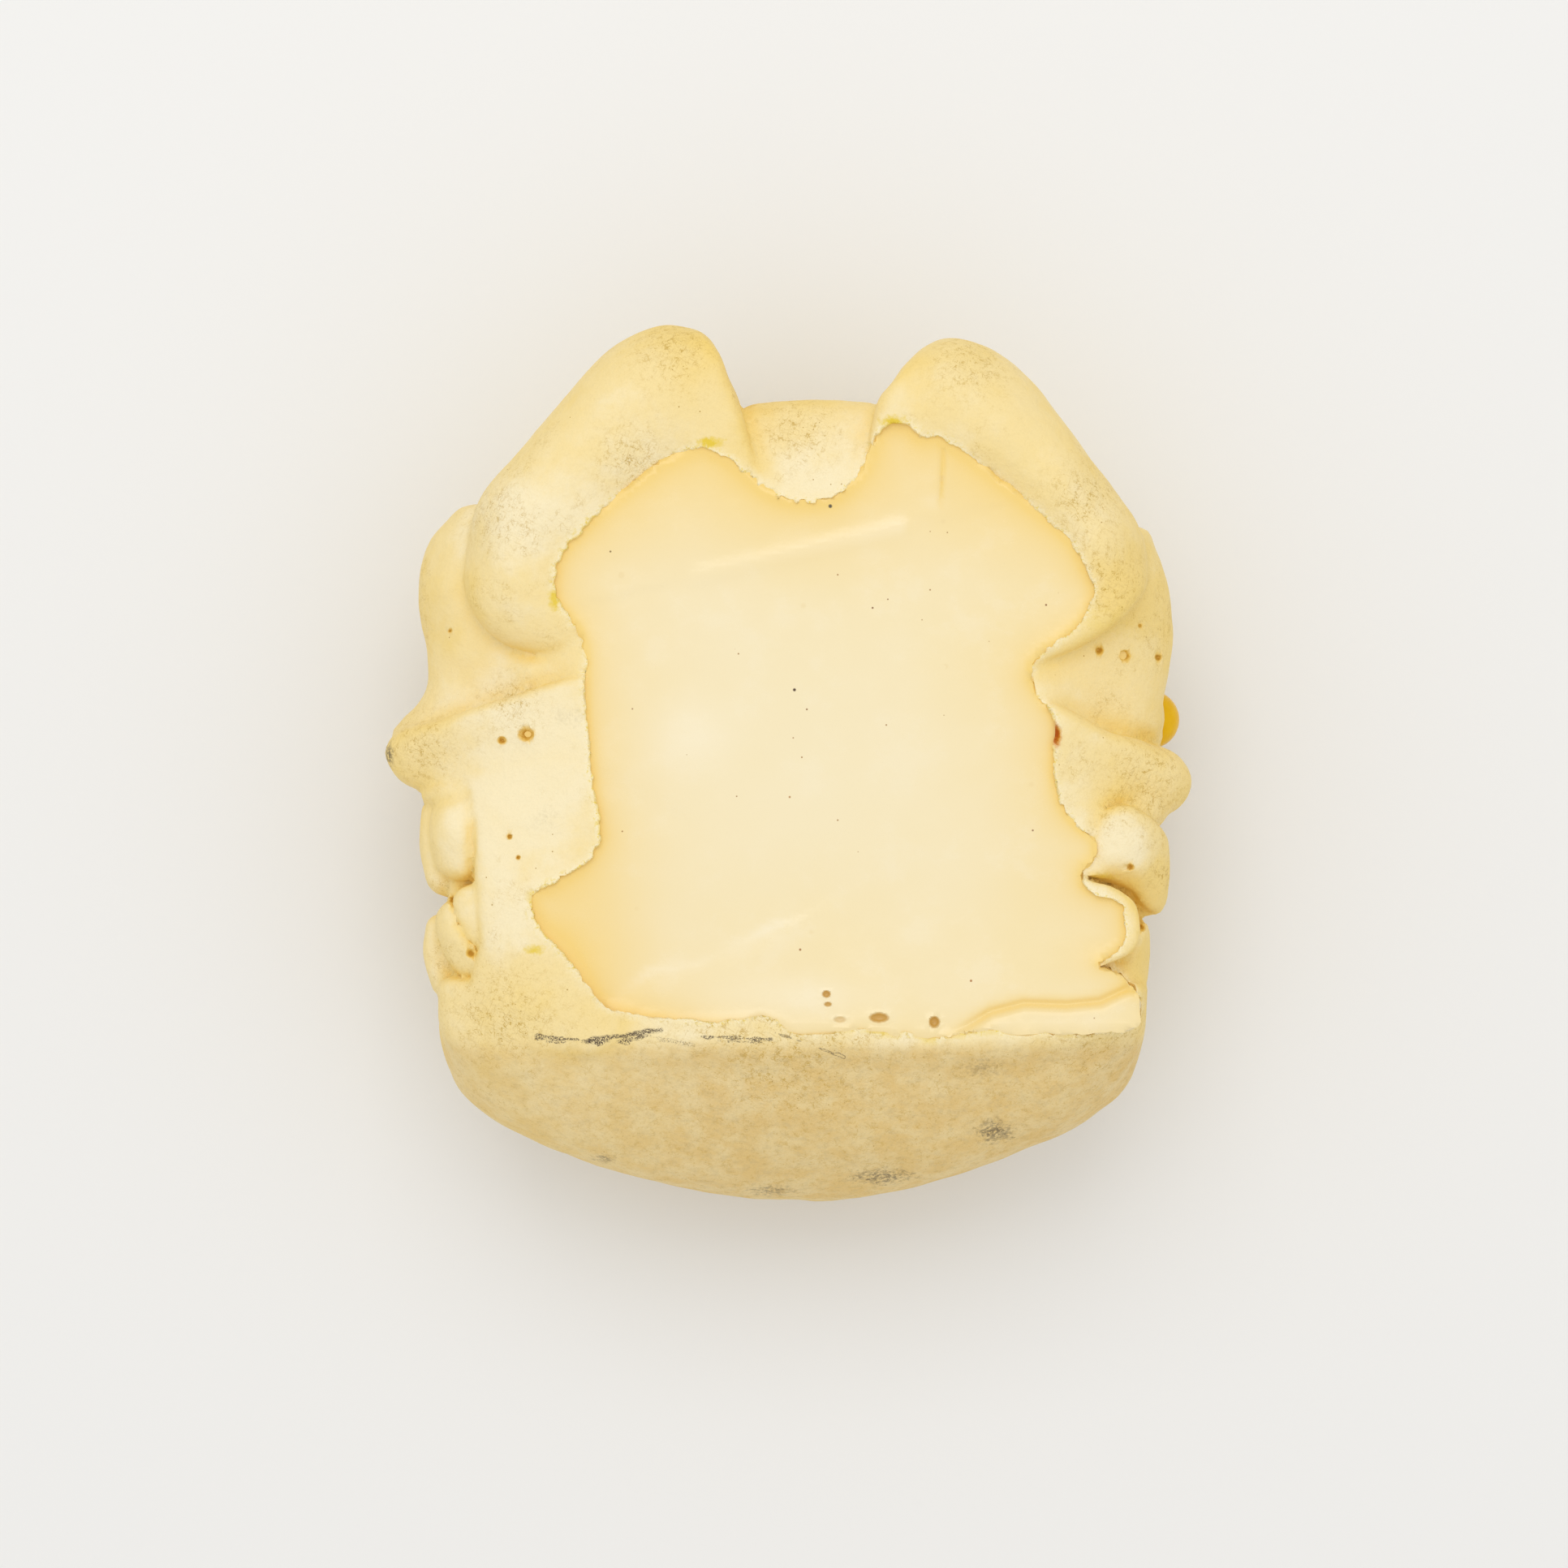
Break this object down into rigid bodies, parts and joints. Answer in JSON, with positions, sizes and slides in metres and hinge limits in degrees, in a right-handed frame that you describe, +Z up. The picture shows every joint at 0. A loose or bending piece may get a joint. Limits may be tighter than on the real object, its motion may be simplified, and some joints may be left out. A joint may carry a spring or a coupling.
{
  "type": "cast skull face mask",
  "caption": "Cast skull mask with lobed forehead, amber eye beads, cheekbones, tooth rows and broad chin, its trimmed back filled flush with poured cream material.",
  "frame": {"origin": "middle of the footprint, on the table that the face lies on", "axes": "+Z up out of the filled back, +Y towards the top of the head, +X to the right seen from above"},
  "size_m": [0.1718, 0.187, 0.083],
  "materials": {
    "cast_shell": "matte ivory cast skin with fine crackle, small bubble holes and a greyer chin",
    "back_fill": "smooth glossy cream poured fill with a few bubbles and specks",
    "eye_bead": "clear amber, glossy"
  },
  "bodies": {
    "root": {"cast_shell": "cast_shell", "back_fill": "back_fill", "eye_bead_left": "eye_bead", "eye_bead_right": "eye_bead"}
  },
  "joints": []
}
